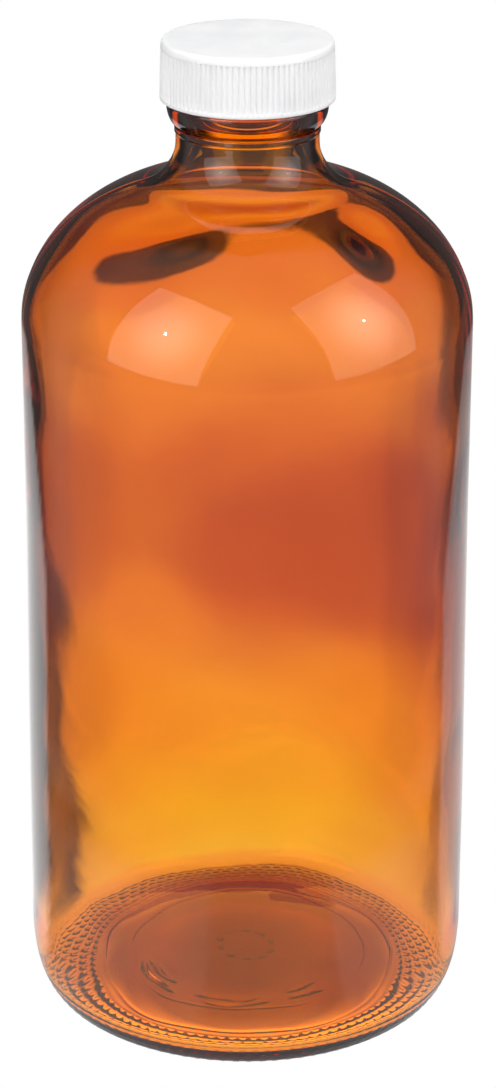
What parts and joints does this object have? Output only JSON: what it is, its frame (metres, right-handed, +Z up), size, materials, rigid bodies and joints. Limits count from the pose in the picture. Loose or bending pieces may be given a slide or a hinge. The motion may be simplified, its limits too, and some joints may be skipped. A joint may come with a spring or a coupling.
{
  "type": "reagent bottle",
  "caption": "Amber glass Boston round reagent bottle with a ribbed white screw cap and a disc liner, one litre, standing upright.",
  "frame": {"origin": "centre of the circle that the bottle stands on, in the plane of its bearing ring", "axes": "+Z up the bottle's own axis, out of the neck; the body is round, so +X and +Y are free"},
  "size_m": [0.0944, 0.0944, 0.21],
  "materials": {
    "amber_glass": "clear amber, smooth and glossy, with a stippled bearing ring",
    "cap_plastic": "white polypropylene, satin, finely ribbed round the side",
    "liner_foam": "white foamed polyethylene, matte",
    "liner_ptfe": "white PTFE film, smooth and waxy"
  },
  "bodies": {
    "bottle": {"glass_bottle": "amber_glass"},
    "liner": {"liner_backing": "liner_foam", "liner_facing": "liner_ptfe"},
    "cap": {"cap_shell": "cap_plastic"}
  },
  "joints": [
    {"name": "cap_rise", "type": "slide", "parent": "bottle", "child": "liner", "axis": [0, 0, 1], "range_m": [0, 0.0127]},
    {"name": "cap_turn", "type": "hinge", "parent": "liner", "child": "cap", "pos_m": [0, 0, 0.2], "axis": [0, 0, 1], "range_deg": [0, 1080]}
  ],
  "couplings": [
    {"joint": "cap_rise", "follows": "cap_turn", "m_per_rad": 0.00067376}
  ]
}
